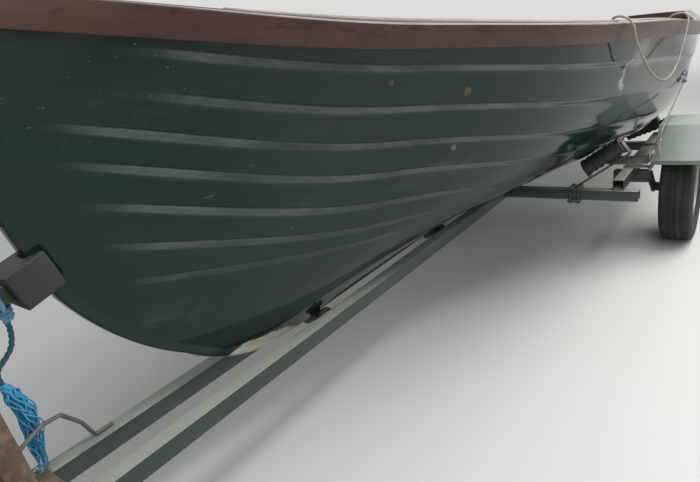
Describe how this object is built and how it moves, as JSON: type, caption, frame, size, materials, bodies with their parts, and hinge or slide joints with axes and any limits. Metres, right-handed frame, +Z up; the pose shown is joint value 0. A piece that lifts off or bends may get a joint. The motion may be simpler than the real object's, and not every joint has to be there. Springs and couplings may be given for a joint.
{
  "type": "clinker-style open fishing boat on a road trailer",
  "caption": "Open clinker-style fishing boat with mahogany gunwales and thwarts, standing on a single-axle roller trailer with winch post and jockey wheel.",
  "frame": {"origin": "on the ground under the middle of the overall length, on the centre line", "axes": "+X to the bow and the coupling, +Y to port, +Z up"},
  "size_m": [6.17, 1.93, 1.452],
  "materials": {
    "black_rubber": "matte",
    "blue_rope": "matte",
    "cast_steel": "matte",
    "floor_timber": "matte",
    "gelcoat": "glossy",
    "green_steel": "satin",
    "mahogany": "satin",
    "mudguard_paint": "satin",
    "rope": "matte",
    "rusty_steel": "matte",
    "tyre": "matte",
    "wheel_paint": "satin",
    "zinc_steel": "satin"
  },
  "bodies": {
    "boat_and_chassis": {"bent_rod": "rusty_steel", "bow_eye": "zinc_steel", "breasthook": "mahogany", "coupling_head": "cast_steel", "coupling_lever": "zinc_steel", "coupling_plate": "green_steel", "cross_arms_front": "green_steel", "cross_arms_rear": "green_steel", "floorboards": "floor_timber", "hull": "gelcoat", "inwale_port": "mahogany", "inwale_starboard": "mahogany", "jockey_clamp": "zinc_steel", "jockey_tube": "zinc_steel", "keel_roller_spindles": "zinc_steel", "mooring_line": "rope", "mudguard_port": "mudguard_paint", "mudguard_starboard": "mudguard_paint", "mudguard_stays": "zinc_steel", "outboard_pads": "mahogany", "risers": "mahogany", "rubbing_strake_port": "mahogany", "rubbing_strake_starboard": "mahogany", "side_rail_port": "green_steel", "side_rail_starboard": "green_steel", "side_roller_arms_front": "green_steel", "side_roller_arms_rear": "green_steel", "snubber": "black_rubber", "snubber_arm": "green_steel", "spine_beam_port": "green_steel", "spine_beam_starboard": "green_steel", "stern_seat": "mahogany", "suspension_plates": "zinc_steel", "suspension_port": "green_steel", "suspension_starboard": "green_steel", "thwart_aft": "mahogany", "thwart_bow": "mahogany", "thwart_middle": "mahogany", "transom_board": "mahogany", "winch_frame": "zinc_steel", "winch_post": "rusty_steel", "winch_rope_fray": "blue_rope", "winch_rope_tail": "blue_rope"},
    "wheel_port": {"rim_port": "wheel_paint", "tyre_port": "tyre"},
    "wheel_starboard": {"rim_starboard": "wheel_paint", "tyre_starboard": "tyre"},
    "jockey_castor": {"jockey_fork": "zinc_steel"},
    "jockey_roller": {"jockey_wheel": "black_rubber"},
    "winch": {"winch_drum": "zinc_steel"},
    "keel_roller_body_1": {"keel_roller_1": "black_rubber"},
    "keel_roller_body_2": {"keel_roller_2": "black_rubber"},
    "keel_roller_body_3": {"keel_roller_3": "black_rubber"},
    "keel_roller_body_4": {"keel_roller_4": "black_rubber"},
    "keel_roller_body_5": {"keel_roller_5": "black_rubber"},
    "side_roller_body_front_port": {"side_roller_front_port": "black_rubber"},
    "side_roller_body_front_starboard": {"side_roller_front_starboard": "black_rubber"},
    "side_roller_body_rear_port": {"side_roller_rear_port": "black_rubber"},
    "side_roller_body_rear_starboard": {"side_roller_rear_starboard": "black_rubber"}
  },
  "joints": [
    {"name": "wheel_port_spin", "type": "hinge", "parent": "boat_and_chassis", "child": "wheel_port", "pos_m": [-0.918, 0.866, 0.285], "axis": [0, 1, 0], "continuous": true},
    {"name": "wheel_starboard_spin", "type": "hinge", "parent": "boat_and_chassis", "child": "wheel_starboard", "pos_m": [-0.918, -0.866, 0.285], "axis": [0, 1, 0], "continuous": true},
    {"name": "jockey_swivel", "type": "hinge", "parent": "boat_and_chassis", "child": "jockey_castor", "pos_m": [2.38, -0.156, 0.23], "axis": [0, 0, 1], "continuous": true},
    {"name": "jockey_wheel_spin", "type": "hinge", "parent": "jockey_castor", "child": "jockey_roller", "pos_m": [2.335, -0.156, 0.1], "axis": [0, 1, 0], "continuous": true},
    {"name": "winch_turn", "type": "hinge", "parent": "boat_and_chassis", "child": "winch", "pos_m": [2.11914, 0, 1.04175], "axis": [0, 1, 0], "continuous": true},
    {"name": "keel_roller_1_spin", "type": "hinge", "parent": "boat_and_chassis", "child": "keel_roller_body_1", "pos_m": [1.12, 0, 0.3777], "axis": [0, 1, 0], "continuous": true},
    {"name": "keel_roller_2_spin", "type": "hinge", "parent": "boat_and_chassis", "child": "keel_roller_body_2", "pos_m": [0.25, 0, 0.3777], "axis": [0, 1, 0], "continuous": true},
    {"name": "keel_roller_3_spin", "type": "hinge", "parent": "boat_and_chassis", "child": "keel_roller_body_3", "pos_m": [-0.7, 0, 0.3777], "axis": [0, 1, 0], "continuous": true},
    {"name": "keel_roller_4_spin", "type": "hinge", "parent": "boat_and_chassis", "child": "keel_roller_body_4", "pos_m": [-1.7, 0, 0.3777], "axis": [0, 1, 0], "continuous": true},
    {"name": "keel_roller_5_spin", "type": "hinge", "parent": "boat_and_chassis", "child": "keel_roller_body_5", "pos_m": [-2.64, 0, 0.3777], "axis": [0, 1, 0], "continuous": true},
    {"name": "side_roller_front_port_spin", "type": "hinge", "parent": "boat_and_chassis", "child": "side_roller_body_front_port", "pos_m": [-0.41, 0.58587, 0.57413], "axis": [0, 0.8205, 0.5717], "continuous": true},
    {"name": "side_roller_front_starboard_spin", "type": "hinge", "parent": "boat_and_chassis", "child": "side_roller_body_front_starboard", "pos_m": [-0.41, -0.58587, 0.57413], "axis": [0, -0.8205, 0.5717], "continuous": true},
    {"name": "side_roller_rear_port_spin", "type": "hinge", "parent": "boat_and_chassis", "child": "side_roller_body_rear_port", "pos_m": [-1.51, 0.57644, 0.49375], "axis": [0, 0.9291, 0.3699], "continuous": true},
    {"name": "side_roller_rear_starboard_spin", "type": "hinge", "parent": "boat_and_chassis", "child": "side_roller_body_rear_starboard", "pos_m": [-1.51, -0.57644, 0.49375], "axis": [0, -0.9291, 0.3699], "continuous": true}
  ]
}
